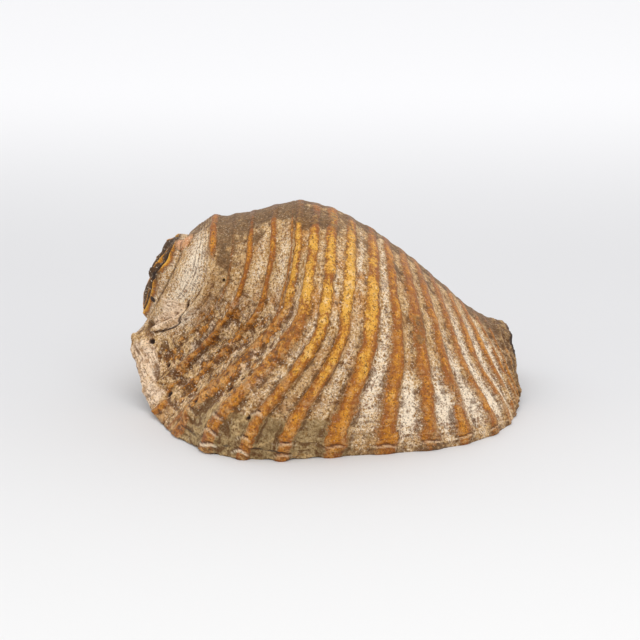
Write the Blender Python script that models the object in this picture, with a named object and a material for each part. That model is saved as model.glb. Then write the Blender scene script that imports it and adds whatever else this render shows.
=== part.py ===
"""Weathered conch shell lying on its opening, spire at the left, canal at the right.

The wall is one closed skin. Its outer sheet is swept from hand-set stations: each station is an
arc that starts at the columella edge under the shell, runs over the back and the crest and ends at
the outer lip. Ribs run along the stations' shares s, growth steps run along u. The inner sheet is
the same wall set in by the wall thickness, so the opening underneath leads into an open hollow.
"""
import math

import bmesh
import bpy
import numpy as np

# driving dimensions, in millimetres
WALL = 3.4            # wall thickness over most of the shell
WALL_LIP = 2.6        # thickness at the worn outer lip
WALL_COLUMELLA = 5.5  # thickness of the rolled columella edge
RIB_CREST = 1.0       # how far a rib stands out along the crest
RIB_LIP = 2.4         # how far a rib stands out near the outer lip
SPIRE_LEFT = 13.0     # how far the broken spire stands out of the suture plane
CREST_SHARE = 0.46    # share of u at which the wall crosses the crest
TURN_BACK = 208.0     # degrees from the crest over the back to the columella edge

# stations along the shell:
# share s, crest point, lip point, sweep power, late sweep, side bow, forward bulge
STATIONS = [
    (0.000, (-66.4, 14, 78.8), (-86.5, 13.0, 37.5), 1.3, 0.00, 0.0, 17.0),
    (0.050, (-58.8, 11, 85.6), (-89.5, 8.0, 34.0), 3.0, 0.00, 0.0, 23.0),
    (0.093, (-52.4, 8, 89.6), (-92.6, 4.5, 31.0), 4.4, 0.00, 0.0, 26.0),
    (0.125, (-47.0, 7, 89.4), (-93.8, 2.0, 25.5), 3.8, 0.00, 0.0, 25.0),
    (0.153, (-43.0, 6, 90.6), (-90.8, -1.0, 18.0), 3.2, 0.00, 0.0, 22.5),
    (0.206, (-34.4, 4, 92.4), (-86.4, -11.0, 8.0), 2.8, 0.00, 0.0, 17.0),
    (0.274, (-24.0, 2, 95.8), (-81.0, -23.0, 2.0), 3.0, 0.15, 0.0, 11.0),
    (0.352, (-12.3, 0, 98.5), (-69.0, -46.0, 0.0), 2.6, 0.45, 0.0, 4.0),
    (0.399, (-5.3, 0, 97.2), (-54.1, -65.0, 0.0), 1.6, 0.62, 0.0, 1.0),
    (0.449, (2.1, 2, 94.6), (-38.1, -72.8, 0.0), 1.6, 0.65, 0.0, 0.0),
    (0.508, (11.1, 4, 89.7), (-20.7, -74.6, 0.0), 1.4, 0.55, 0.6, 0.0),
    (0.573, (21.1, 7, 83.3), (1.5, -71.0, 0.0), 1.4, 0.40, 1.5, 0.0),
    (0.620, (28.3, 9, 77.9), (24.3, -67.5, 0.0), 1.3, 0.40, 3.6, 0.0),
    (0.664, (35.2, 12, 72.1), (44.5, -63.5, 0.0), 1.0, 0.15, 1.6, 0.0),
    (0.707, (42.0, 14, 66.4), (62.2, -56.0, 0.0), 0.9, 0.20, 0.3, 0.0),
    (0.757, (50.0, 17, 58.7), (77.5, -43.4, 0.0), 1.0, 0.25, 0.0, 0.0),
    (0.807, (58.1, 20, 51.0), (85.3, -30.8, 0.0), 1.0, 0.25, 0.0, 0.0),
    (0.850, (65.2, 22, 43.8), (89.1, -20.4, 0.5), 1.0, 0.10, 0.0, 0.0),
    (0.888, (71.4, 24, 38.3), (91.3, -13.0, 1.5), 1.0, 0.00, 0.0, 0.0),
    (0.940, (80.0, 26, 33.1), (92.6, -6.0, 3.0), 1.0, 0.00, 0.0, 0.0),
    (1.000, (89.7, 28, 29.3), (93.4, 1.0, 5.0), 1.0, 0.00, 0.0, 0.0),
]
# the back of the same stations:
# share s, height of the middle, reach behind the crest, columella point
BACKS = [
    (0.00, 57.0, 23.0, (-86.5, 13.0, 37.5)),
    (0.06, 52.0, 31.0, (-84.0, 17.0, 27.0)),
    (0.13, 45.0, 38.0, (-74.0, 13.0, 19.0)),
    (0.22, 40.5, 44.0, (-57.0, 3.0, 16.0)),
    (0.35, 38.4, 47.0, (-33.0, -7.0, 17.0)),
    (0.50, 34.6, 43.0, (-4.0, -8.0, 17.0)),
    (0.65, 27.6, 35.0, (28.0, -3.0, 15.0)),
    (0.80, 20.4, 26.0, (58.0, 6.0, 12.0)),
    (1.00, 14.0, 16.0, (85.0, 16.0, 9.0)),
]
# ribs: share s at the middle, half width in s, height against the usual rib
RIBS = [
    (0.093, 0.016, 0.9), (0.153, 0.014, 0.3), (0.206, 0.018, 0.8), (0.274, 0.020, 0.8),
    (0.352, 0.021, 1.0), (0.399, 0.017, 1.0), (0.449, 0.018, 1.1), (0.508, 0.019, 1.1),
    (0.573, 0.018, 1.0), (0.620, 0.015, 0.8), (0.664, 0.015, 0.9), (0.707, 0.014, 0.8),
    (0.757, 0.014, 0.9), (0.807, 0.013, 0.8), (0.850, 0.011, 0.7), (0.888, 0.010, 0.7),
    (0.922, 0.009, 0.6), (0.955, 0.009, 0.6),
]
# rings of the broken spire: radius share, height share, ragged amount
SPIRE_RINGS = [
    (0.985, 0.25, 0.05), (0.95, 0.60, 0.10), (0.92, 0.70, 0.15), (0.87, 0.52, 0.10),
    (0.80, 1.00, 0.18), (0.73, 0.95, 0.15), (0.66, 0.50, 0.05), (0.46, 0.22, 0.00), (0.24, 0.34, 0.00),
]


def hermite(x, xs, ys):
    """Smooth curve through hand-set values that never overshoots between them."""
    xs = np.asarray(xs, float)
    ys = np.asarray(ys, float)
    step = np.diff(xs)[:, None]
    slope = np.diff(ys, axis=0) / step
    near = 2 * step[1:] + step[:-1]
    far = step[1:] + 2 * step[:-1]
    same = slope[1:] * slope[:-1] > 0
    before = np.where(same, slope[:-1], 1.0)
    after = np.where(same, slope[1:], 1.0)
    tangent = np.zeros_like(ys)
    tangent[1:-1] = np.where(same, (near + far) / (near / before + far / after), 0.0)
    tangent[0] = slope[0]
    tangent[-1] = slope[-1]
    x = np.asarray(x, float)
    i = np.clip(np.searchsorted(xs, x, side="right") - 1, 0, len(xs) - 2)
    width = (xs[i + 1] - xs[i])[..., None]
    t = (x[..., None] - xs[i][..., None]) / width
    value = (2 * t ** 3 - 3 * t ** 2 + 1) * ys[i] + (3 * t ** 2 - 2 * t ** 3) * ys[i + 1]
    value += width * ((t ** 3 - 2 * t ** 2 + t) * tangent[i] + (t ** 3 - t ** 2) * tangent[i + 1])
    return value


def ease(t, low, high):
    """Smooth step from 0 at low to 1 at high."""
    t = np.clip((t - low) / (high - low), 0, 1)
    return t * t * (3 - 2 * t)


STATION_S = [row[0] for row in STATIONS]
STATION_TABLE = [list(row[1]) + list(row[2]) + list(row[3:]) for row in STATIONS]
BACK_S = [row[0] for row in BACKS]
BACK_TABLE = [list(row[1:3]) + list(row[3]) for row in BACKS]


def front_arc(s, v):
    """Arc from the crest (v 0) down the front to the outer lip (v 1)."""
    f = hermite(s, STATION_S, STATION_TABLE)
    phi = v * math.pi / 2
    reach = np.sin(phi) ** 0.88
    height = np.clip(np.cos(phi), 0, 1) ** 0.95
    y = f[..., 1] + (f[..., 4] - f[..., 1]) * reach - f[..., 9] * np.sin(math.pi * v)
    z = f[..., 5] + (f[..., 2] - f[..., 5]) * height
    down = 0.8 * (1 - height) + 0.2 * reach
    sweep = (1 - f[..., 7]) * down ** f[..., 6] + f[..., 7] * ease(down, 0.45, 0.96)
    x = f[..., 0] + (f[..., 3] - f[..., 0]) * sweep + f[..., 8] * np.sin(math.pi * down)
    return np.stack([x, y, z], -1)


def back_arc(s, w):
    """Arc from the crest (w 0) over the back and the underside to the columella edge (w 1)."""
    f = hermite(s, STATION_S, STATION_TABLE)
    b = hermite(s, BACK_S, BACK_TABLE)
    last = math.radians(TURN_BACK)
    tuck = 0.36 * ease(s, 0.0, 0.2)

    def point(phi, radius):
        drop = (1 - np.cos(np.minimum(phi, math.pi))) / 2
        x = f[..., 0] + (b[..., 2] - f[..., 0]) * drop ** 1.3
        y = f[..., 1] + b[..., 1] * np.sin(phi) * radius
        z = b[..., 0] + (f[..., 2] - b[..., 0]) * np.cos(phi) * radius
        return np.stack([x, y, z], -1)

    free = point(w * last, 1 - tuck * ease(w, 0.52, 1.0))
    end = point(np.full_like(w, last), 1 - tuck)
    pull = (ease(w, 0.45, 1.0) ** 1.5)[..., None]
    return free + (b[..., 2:5] - end) * pull


def smooth_wall(s, u):
    """Point of the wall without ribs: u 0 at the columella edge, 1 at the outer lip."""
    s, u = np.broadcast_arrays(np.asarray(s, float), np.asarray(u, float))
    over_back = back_arc(s, np.clip((CREST_SHARE - u) / CREST_SHARE, 0, 1))
    over_front = front_arc(s, np.clip((u - CREST_SHARE) / (1 - CREST_SHARE), 0, 1))
    return np.where((u < CREST_SHARE)[..., None], over_back, over_front)


def wall_normal(s, u):
    """Outward direction of the smooth wall, from neighbouring points."""
    step = 0.004
    s, u = np.broadcast_arrays(np.asarray(s, float), np.asarray(u, float))
    along_s = smooth_wall(np.clip(s + step, 0, 1), u) - smooth_wall(np.clip(s - step, 0, 1), u)
    along_u = smooth_wall(s, np.clip(u + step, 0, 1)) - smooth_wall(s, np.clip(u - step, 0, 1))
    n = np.cross(along_u, along_s)
    return n / np.maximum(np.linalg.norm(n, axis=-1, keepdims=True), 1e-9)


def rib_height(s, u):
    """How far the outside stands off the smooth wall at s, u."""
    profile = np.zeros_like(s)
    for middle, half, tall in RIBS:
        t = np.clip(np.abs(s - middle) / half, 0, 1)
        profile = np.maximum(profile, tall * (1 - t ** 2) ** 1.2)
    towards_lip = ease(u, 0.50, 0.95)
    size = RIB_CREST + (RIB_LIP - RIB_CREST) * towards_lip
    size = size * ease(u, 0.10, 0.26) * (1 - 0.6 * ease(u, 0.93, 1.0))
    lumps = 0.55 * np.sin(31 * s + 11 * u) * np.sin(17 * u + 5 * s) + 0.35 * np.sin(57 * s - 41 * u)
    rough = lumps * ease(u, 0.12, 0.3) * (0.35 + 0.9 * towards_lip * (1 - ease(s, 0.55, 0.9)))
    fade = ease(s, 0.0, 0.05) * (1 - 0.5 * ease(s, 0.97, 1.0))
    return (profile * size + rough) * fade


def s_lines():
    """Shares s of the grid lines: foot, top and foot of every rib, and the valleys between."""
    lines = [0.0, 0.025, 0.05, 0.068]
    for k, (middle, half, _) in enumerate(RIBS):
        if middle < 0.83:
            lines += [middle - half, middle, middle + half]
        else:
            lines += [middle]
        if k + 1 < len(RIBS):
            after, after_half = RIBS[k + 1][:2]
            foot = middle + half if middle < 0.83 else middle
            gap_end = after - after_half if after < 0.83 else after
            lines += [(foot + gap_end) / 2]
    lines += [0.978, 1.0]
    return np.array(lines)


def u_lines():
    """Shares u of the grid lines, closer near the columella edge and near the lip."""
    back = CREST_SHARE * (np.linspace(0, 1, 12) ** 0.85)
    front = CREST_SHARE + (1 - CREST_SHARE) * (1 - (1 - np.linspace(0, 1, 17)) ** 1.12)
    return np.concatenate([back, front[1:]])


def wall_sheets():
    """Outer and inner sheet of the wall as grids of points."""
    s, u = np.meshgrid(s_lines(), u_lines(), indexing="ij")
    plain = smooth_wall(s, u)
    normal = wall_normal(s, u)
    outer = plain + normal * rib_height(s, u)[..., None]
    depth = WALL + (WALL_LIP - WALL) * ease(u, 0.85, 1.0)
    depth = depth + (WALL_COLUMELLA - WALL) * np.exp(-((u - 0.03) / 0.05) ** 2) * ease(s, 0.02, 0.15)
    inner = plain - normal * depth[..., None]
    seam = (outer[0, 0] + outer[0, -1]) / 2
    outer[0, 0] = seam
    outer[0, -1] = seam
    inward = plain[:8].mean(axis=(0, 1)) - seam
    inner[0, 0] = seam + inward / np.linalg.norm(inward) * WALL
    inner[0, -1] = inner[0, 0]
    outer[..., 2] = np.maximum(outer[..., 2], 0.0)
    inner[..., 2] = np.maximum(inner[..., 2], 0.0)
    return outer, inner


def spire_rings(loop):
    """Rings of points from the suture loop to the broken apex."""
    centre = loop.mean(axis=0)
    turned = np.roll(loop, -1, axis=0)
    axis = np.cross(loop - centre, turned - centre).sum(axis=0)
    axis = axis / np.linalg.norm(axis)
    if axis[0] > 0:
        axis = -axis
    off_plane = (loop - centre) @ axis
    flat = loop - np.outer(off_plane, axis)
    upward = np.array([0.0, 0.0, 1.0]) - axis[2] * axis
    upward = upward / np.linalg.norm(upward)
    sideward = np.cross(axis, upward)
    angle = np.arctan2((flat - centre) @ sideward, (flat - centre) @ upward)
    rings = []
    for share, high, ragged in SPIRE_RINGS:
        tear = 0.6 * np.sin(3 * angle + 7 * share) + 0.4 * np.sin(5 * angle + 2.0)
        spiral = 1 - 0.10 * (1 - share) * np.sin(angle)
        ring = centre + (flat - centre) * (share * spiral)[:, None]
        lift = SPIRE_LEFT * high * (0.40 + 0.30 * np.sin(angle) ** 2) * (1 + ragged * tear)
        lift = lift + off_plane * share ** 3
        rings.append(ring + lift[:, None] * axis)
    apex = centre + axis * SPIRE_LEFT * 0.42
    return rings, apex


def add_shell():
    """Build the shell as one closed mesh, in metres."""
    outer, inner = wall_sheets()
    rows, cols = outer.shape[:2]
    points = []
    faces = []

    def put(grid):
        start = len(points)
        points.extend(grid.reshape(-1, 3).tolist())
        return start

    out0 = put(outer)
    in0 = put(inner)

    def o(i, j):
        return out0 + i * cols + j

    def n(i, j):
        return in0 + i * cols + j

    for i in range(rows - 1):
        for j in range(cols - 1):
            faces.append((o(i, j), o(i + 1, j), o(i + 1, j + 1), o(i, j + 1)))
            faces.append((n(i, j), n(i, j + 1), n(i + 1, j + 1), n(i + 1, j)))
    for i in range(rows - 1):
        faces.append((o(i, 0), n(i, 0), n(i + 1, 0), o(i + 1, 0)))
        faces.append((o(i, cols - 1), o(i + 1, cols - 1), n(i + 1, cols - 1), n(i, cols - 1)))
    for j in range(cols - 1):
        faces.append((o(rows - 1, j), n(rows - 1, j), n(rows - 1, j + 1), o(rows - 1, j + 1)))

    loop = outer[0, :-1]
    rings, apex = spire_rings(loop)
    last = [o(0, j) for j in range(cols - 1)]
    for ring in rings:
        start = put(ring)
        ids = [start + j for j in range(cols - 1)]
        for j in range(cols - 1):
            k = (j + 1) % (cols - 1)
            faces.append((last[j], last[k], ids[k], ids[j]))
        last = ids
    tip = put(apex[None])
    for j in range(cols - 1):
        faces.append((last[j], last[(j + 1) % (cols - 1)], tip))

    bottom = inner[0, :-1]
    middle = bottom.mean(axis=0)
    last = [n(0, j) for j in range(cols - 1)]
    for share in (0.66, 0.33):
        start = put(middle + (bottom - middle) * share)
        ids = [start + j for j in range(cols - 1)]
        for j in range(cols - 1):
            k = (j + 1) % (cols - 1)
            faces.append((last[k], last[j], ids[j], ids[k]))
        last = ids
    tip = put(middle[None])
    for j in range(cols - 1):
        faces.append((last[(j + 1) % (cols - 1)], last[j], tip))

    points = np.array(points)
    points[:, :2] -= (points[:, :2].max(axis=0) + points[:, :2].min(axis=0)) / 2

    mesh = bpy.data.meshes.new("conch_shell")
    mesh.from_pydata((points * 0.001).tolist(), [], faces)
    bm = bmesh.new()
    bm.from_mesh(mesh)
    bmesh.ops.remove_doubles(bm, verts=bm.verts, dist=1e-6)
    bmesh.ops.dissolve_degenerate(bm, edges=bm.edges, dist=1e-6)
    bmesh.ops.triangulate(bm, faces=bm.faces)
    bmesh.ops.recalc_face_normals(bm, faces=bm.faces)
    bm.to_mesh(mesh)
    bm.free()
    shell = bpy.data.objects.new("conch_shell", mesh)
    bpy.context.collection.objects.link(shell)
    return shell


def shell_material():
    """Matt, weathered orange-brown shell."""
    material = bpy.data.materials.new("weathered_shell")
    material.use_nodes = True
    shader = material.node_tree.nodes["Principled BSDF"]
    shader.inputs["Base Color"].default_value = (0.42, 0.25, 0.11, 1.0)
    shader.inputs["Roughness"].default_value = 0.72
    return material


for old in list(bpy.data.objects):
    bpy.data.objects.remove(old, do_unlink=True)
conch = add_shell()
conch.data.materials.append(shell_material())
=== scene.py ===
"""The looks of the weathered conch shell: its finely worked skin, its finish, the stage and camera.

The skin is one closed surface over the same stations as the solid. Two numbers say where a point
lies on it: s runs from the suture at the spire to the canal end, u from the columella edge under
the shell over the back and the crest to the outer lip. Lengths in the shape functions are in
millimetres, and the mesh is in metres.
"""
import math

import bmesh
import bpy
import numpy as np
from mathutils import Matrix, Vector


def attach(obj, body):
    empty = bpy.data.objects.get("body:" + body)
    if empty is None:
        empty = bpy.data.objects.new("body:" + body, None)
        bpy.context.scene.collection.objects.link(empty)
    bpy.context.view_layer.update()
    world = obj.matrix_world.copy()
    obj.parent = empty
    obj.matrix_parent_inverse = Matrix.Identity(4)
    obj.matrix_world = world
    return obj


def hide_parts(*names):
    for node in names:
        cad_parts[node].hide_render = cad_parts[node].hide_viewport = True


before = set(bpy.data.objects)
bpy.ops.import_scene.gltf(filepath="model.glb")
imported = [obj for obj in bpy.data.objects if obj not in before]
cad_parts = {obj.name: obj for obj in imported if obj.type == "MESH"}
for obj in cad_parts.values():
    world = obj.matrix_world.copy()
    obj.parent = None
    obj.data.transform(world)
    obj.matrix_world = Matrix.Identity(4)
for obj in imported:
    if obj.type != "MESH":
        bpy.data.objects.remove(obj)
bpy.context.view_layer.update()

bl_info = {
    "name": "Weathered conch shell",
    "version": (1, 0, 0),
    "blender": (4, 5, 0),
    "location": "3D View > Sidebar > Shell",
    "description": "Builds the ribbed skin of a weathered conch shell and its stage",
    "category": "Add Mesh",
}

CREST_SHARE = 0.46  # share of u at which the wall crosses the crest
TURN_BACK = 208.0  # degrees from the crest over the back to the columella edge
FOOTPRINT_SHIFT = (0.012, 14.155)  # moves the stations onto the middle of the footprint
# lines of the outer sheet along the shell and round it, and how close they lie at each share
LINES_ALONG = 301
LINES_ROUND = 241
DENSE_ALONG = [(0, 1.3), (0.1, 1.3), (0.5, 1.1), (0.9, 0.8), (1, 0.9)]
DENSE_ROUND = [(0, 0.9), (0.1, 0.6), (0.4, 0.7), (0.5, 1.2), (0.85, 1.4), (1, 1.9)]
SPIRE_RINGS = 26  # rings from the suture to the apex
SPIRE_HEIGHT = 13.0  # height of the spire over the suture where its profile says 1
# the spire's hole is not cut: it is painted as shade only
SPIRE_HOLE = (-83.1, 5.7, 49.3)  # hole eaten into the spire, and its half widths
SPIRE_HOLE_SIZE = (1.5, 1.5, 2.4)
CAP_RINGS = 5  # rings that close the lining behind the spire
# what the camera looks at and how far off it is, in metres, and its rise in degrees
PHOTO_TARGET = (-0.003, -0.01335, 0.05)
PHOTO_DISTANCE = 0.818
PHOTO_RISE = 18.0
# middle and side of the large soft light, in metres
KEY_PLACE = (0.18, -0.44, 1.05)
KEY_SIZE = 1.1

# stations along the shell:
# share s, crest point, lip point, sweep power, late sweep, side bow, forward bulge
STATIONS = [
    (0, (-66.4, 14, 78.8), (-86.5, 13, 37.5), 1.3, 0, 0, 17),
    (0.05, (-58.8, 11, 85.6), (-89.5, 8, 34), 3, 0, 0, 23),
    (0.093, (-52.4, 8, 89.6), (-92.6, 4.5, 31), 4.4, 0, 0, 26),
    (0.125, (-47, 7, 89.4), (-93.8, 2, 25.5), 3.8, 0, 0, 25),
    (0.153, (-43, 6, 90.6), (-90.8, -1, 18), 3.2, 0, 0, 22.5),
    (0.206, (-34.4, 4, 92.4), (-86.4, -11, 8), 2.8, 0, 0, 17),
    (0.274, (-24, 2, 95.8), (-81, -23, 2), 3, 0.15, 0, 11),
    (0.352, (-12.3, 0, 98.5), (-69, -46, 0), 2.6, 0.45, 0, 4),
    (0.399, (-5.3, 0, 97.2), (-54.1, -65, 0), 1.6, 0.62, 0, 1),
    (0.449, (2.1, 2, 94.6), (-38.1, -72.8, 0), 1.6, 0.65, 0, 0),
    (0.508, (11.1, 4, 89.7), (-20.7, -74.6, 0), 1.4, 0.55, 0.6, 0),
    (0.573, (21.1, 7, 83.3), (1.5, -71, 0), 1.4, 0.4, 1.5, 0),
    (0.62, (28.3, 9, 77.9), (24.3, -67.5, 0), 1.3, 0.4, 3.6, 0),
    (0.664, (35.2, 12, 72.1), (44.5, -63.5, 0), 1, 0.15, 1.6, 0),
    (0.707, (42, 14, 66.4), (62.2, -56, 0), 0.9, 0.2, 0.3, 0),
    (0.757, (50, 17, 58.7), (77.5, -43.4, 0), 1, 0.25, 0, 0),
    (0.807, (58.1, 20, 51), (85.3, -30.8, 0), 1, 0.25, 0, 0),
    (0.85, (65.2, 22, 43.8), (89.1, -20.4, 0.5), 1, 0.1, 0, 0),
    (0.888, (71.4, 24, 38.3), (91.3, -13, 1.5), 1, 0, 0, 0),
    (0.94, (80, 26, 33.1), (92.6, -6, 3), 1, 0, 0, 0),
    (1, (89.7, 28, 29.3), (93.4, 1, 5), 1, 0, 0, 0),
]
# the back of the same stations: share s, height of the middle, reach behind, columella point
BACKS = [
    (0, 57, 23, (-86.5, 13, 37.5)),
    (0.06, 52, 31, (-84, 17, 27)),
    (0.13, 45, 38, (-74, 13, 19)),
    (0.22, 40.5, 44, (-57, 3, 16)),
    (0.35, 38.4, 47, (-33, -7, 17)),
    (0.5, 34.6, 43, (-4, -8, 17)),
    (0.65, 27.6, 35, (28, -3, 15)),
    (0.8, 20.4, 26, (58, 6, 12)),
    (1, 14, 16, (85, 16, 9)),
]
# ribs: share s at the middle, half widths in s at the crest and at the lip, height, coat
RIBS = [
    (0.093, 0.01, 0.012, 0.9, 0.9), (0.153, 0.006, 0.006, 0.3, 0.3), (0.206, 0.008, 0.009, 0.8, 0.8),
    (0.274, 0.009, 0.01, 0.8, 0.9), (0.33, 0.004, 0.006, 0.3, 0.5), (0.352, 0.012, 0.011, 1, 1),
    (0.401, 0.015, 0.01, 1, 1), (0.452, 0.016, 0.011, 1.1, 1), (0.51, 0.014, 0.011, 1.1, 1),
    (0.574, 0.015, 0.011, 1, 1), (0.621, 0.012, 0.01, 0.8, 0.9), (0.668, 0.013, 0.011, 0.9, 0.8),
    (0.71, 0.011, 0.01, 0.8, 0.8), (0.757, 0.011, 0.01, 0.9, 0.8), (0.807, 0.01, 0.009, 0.8, 0.9),
    (0.85, 0.008, 0.008, 0.7, 0.9), (0.888, 0.007, 0.007, 0.7, 0.8), (0.922, 0.006, 0.006, 0.6, 0.7),
    (0.955, 0.006, 0.005, 0.6, 0.5),
]
# chalky pale places: share s, share of the front, their half widths, amount
PALE_SPOTS = [
    (0.541, 0.25, 0.012, 0.3, 0.6), (0.48, 0.45, 0.009, 0.25, 0.5), (0.6, 0.3, 0.009, 0.3, 0.7),
    (0.43, 0.62, 0.009, 0.25, 0.5), (0.375, 0.62, 0.009, 0.2, 0.5), (0.31, 0.44, 0.016, 0.22, 0.55),
    (0.24, 0.45, 0.014, 0.22, 0.45), (0.541, 0.74, 0.014, 0.16, 0.5), (0.597, 0.76, 0.015, 0.2, 0.8),
    (0.644, 0.84, 0.014, 0.14, 1.1), (0.69, 0.82, 0.013, 0.16, 1.1), (0.733, 0.72, 0.013, 0.26, 0.9),
    (0.783, 0.62, 0.013, 0.36, 1), (0.83, 0.6, 0.011, 0.36, 0.9), (0.87, 0.58, 0.009, 0.36, 0.8),
    (0.045, 0.5, 0.034, 0.5, 1), (0.92, 0.55, 0.06, 0.3, 0.4), (0.76, 0.86, 0.08, 0.07, 0.6),
    (0.105, 0.86, 0.026, 0.09, 1),
]
# brown earthy stain: share s, share of the front, their half widths, amount
EARTH_SPOTS = [
    (0.15, 0.22, 0.04, 0.26, 0.75), (0.15, 0.6, 0.026, 0.2, 0.3), (0.235, 0.06, 0.09, 0.11, 1.3),
    (0.672, 0.52, 0.02, 0.12, 0.9), (0.33, 0.7, 0.05, 0.12, 0.3), (0.98, 0.5, 0.035, 0.8, 1),
    (0.48, 0.93, 0.13, 0.06, 0.5), (0.21, 0.8, 0.05, 0.12, 0.7), (0.905, 0.3, 0.05, 0.4, 0.6),
    (0.062, 0.955, 0.028, 0.024, 1.8), (0.12, 0.3, 0.016, 0.3, 0.6), (0.39, 0.12, 0.08, 0.09, 1.1),
]
# painted shade in the hollow under the ramp's end, in the same order
HOLLOW_SHADE_SPOTS = [(0.068, 0.958, 0.02, 0.016, 0.7)]
# holes eaten through the crust, painted dark as shade inside: share s, share of the front, half width in
# millimetres
HOLES = [
    (0.33, 0.848, 1.3), (0.375, 0.835, 1.5), (0.38, 0.8, 1.1), (0.125, 0.953, 1.2), (0.3, 0.9, 1),
    (0.352, 0.905, 1.1), (0.14, 0.545, 0.6), (0.436, 0.885, 0.9), (0.25, 0.955, 1.2), (0.18, 0.93, 0.9),
]
# joints on the ribs near the lip: share s of the rib, share of the front, whiteness of its edge
JOINTS = [
    (0.396, 0.897, 0.7), (0.399, 0.94, 0.8), (0.401, 0.974, 1.6), (0.446, 0.866, 0.8), (0.447, 0.936, 0.6),
    (0.447, 0.975, 1.6), (0.51, 0.945, 0.6), (0.51, 0.975, 0.5), (0.574, 0.96, 0.4), (0.352, 0.925, 0.4),
    (0.621, 0.966, 0.6), (0.668, 0.962, 0.7), (0.71, 0.964, 0.7), (0.757, 0.966, 0.6), (0.807, 0.97, 0.5),
]
# lumps: share s, share of the front, radius and height in millimetres, direction, pinkness
LUMPS = [
    (0.006, 0.17, 4.8, 4.4, (-0.35, -0.85, 0.35), 1), (0.118, 0.975, 4.5, 2.4, (-0.8, -0.5, 0.3), 0),
    (0.1, 0.945, 3, 1.2, (-0.5, -0.8, 0.3), 0), (0.16, 0.985, 3.2, 1.2, (-0.8, -0.5, 0.1), 0),
    (0.066, 0.955, 4.2, 2.2, (0.5, 0.8, -0.3), 0),
    (0.215, 0.985, 4, 1.4, (-0.8, -0.5, 0.1), 0), (0.262, 0.975, 3.4, 1.3, (-0.7, -0.6, 0.2), 0),
]
# crack across the ramp: share of the front, share s
CRACK = [(0.7, 0.06), (0.79, 0.073), (0.853, 0.097), (0.888, 0.112), (0.932, 0.107), (0.97, 0.098)]
# profile of the broken spire from the suture to the apex: radius share, height share, raggedness
SPIRE_PROFILE = [
    (1, 0, 0), (0.985, 0.22, 0.3), (0.95, 0.56, 0.6), (0.93, 0.72, 1),
    (0.915, 0.7, 1), (0.89, 0.5, 0.5), (0.865, 0.55, 0.5), (0.82, 0.94, 0.9),
    (0.795, 1.03, 1), (0.74, 0.95, 0.9), (0.66, 0.5, 0.3), (0.46, 0.22, 0.2),
    (0.24, 0.34, 0.2), (0.08, 0.4, 0),
]


def ease(t, low, high):
    """Smooth step: 0 up to low, 1 from high, with level ends between them."""
    t = np.clip((t - low) / (high - low), 0, 1)
    return t * t * (3 - 2 * t)


def band(t, start, full, fading, end):
    """0 up to start, 1 from full to fading, and 0 again from end."""
    return ease(t, start, full) * (1 - ease(t, fading, end))


def bell(t, half):
    """1 at t 0, falling on both sides to about a third at half."""
    return np.exp(-(t / half) ** 2)


def through(x, knots, values):
    """Cubic curve through the values at the knots, with slopes that never overshoot."""
    knots = np.asarray(knots, float)
    values = np.asarray(values, float)
    step = np.diff(knots)[:, None]
    slope = np.diff(values, axis=0) / step
    near = 2 * step[1:] + step[:-1]
    far = step[1:] + 2 * step[:-1]
    same = slope[1:] * slope[:-1] > 0
    before = np.where(same, slope[:-1], 1.0)
    after = np.where(same, slope[1:], 1.0)
    tangent = np.zeros_like(values)
    tangent[1:-1] = np.where(same, (near + far) / (near / before + far / after), 0.0)
    tangent[0] = slope[0]
    tangent[-1] = slope[-1]
    i = np.clip(np.searchsorted(knots, x, side="right") - 1, 0, len(knots) - 2)
    width = (knots[i + 1] - knots[i])[..., None]
    t = (x[..., None] - knots[i][..., None]) / width
    curve = (2 * t ** 3 - 3 * t ** 2 + 1) * values[i] + (3 * t ** 2 - 2 * t ** 3) * values[i + 1]
    return curve + width * ((t ** 3 - 2 * t ** 2 + t) * tangent[i] + (t ** 3 - t ** 2) * tangent[i + 1])


def noise(points, size, seed):
    """Smooth random field between -1 and 1 whose lumps are about size millimetres wide.

    Each corner of a cubic lattice gets a number from a hash of its place, and the eight round a
    point are blended with level-ended weights.
    """
    place = np.asarray(points, float) / size + 31.7 * seed
    cell = np.floor(place).astype(np.int64)
    part = place - cell
    part = part * part * (3 - 2 * part)
    total = np.zeros(place.shape[:-1])
    for corner in range(8):
        offset = np.array([corner & 1, corner >> 1 & 1, corner >> 2 & 1])
        key = cell + offset
        code = key[..., 0] * 73856093 ^ key[..., 1] * 19349663 ^ key[..., 2] * 83492791
        code = (code ^ (code >> 13)) * 1274126177
        code = (code ^ (code >> 16)) & 0xFFFFF
        weight = np.prod(np.where(offset == 1, part, 1 - part), axis=-1)
        total += weight * (code / 0xFFFFF * 2 - 1)
    return total


def rough(points, size, seed, layers=4):
    """Sum of noise fields, each half as wide and a little over half as strong as the last."""
    return sum(0.55 ** k * noise(points, size / 2 ** k, seed + k) for k in range(layers))


STATION_S = [row[0] for row in STATIONS]
STATION_TABLE = [list(row[1]) + list(row[2]) + list(row[3:]) for row in STATIONS]
BACK_S = [row[0] for row in BACKS]
BACK_TABLE = [list(row[1:3]) + list(row[3]) for row in BACKS]


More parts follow.
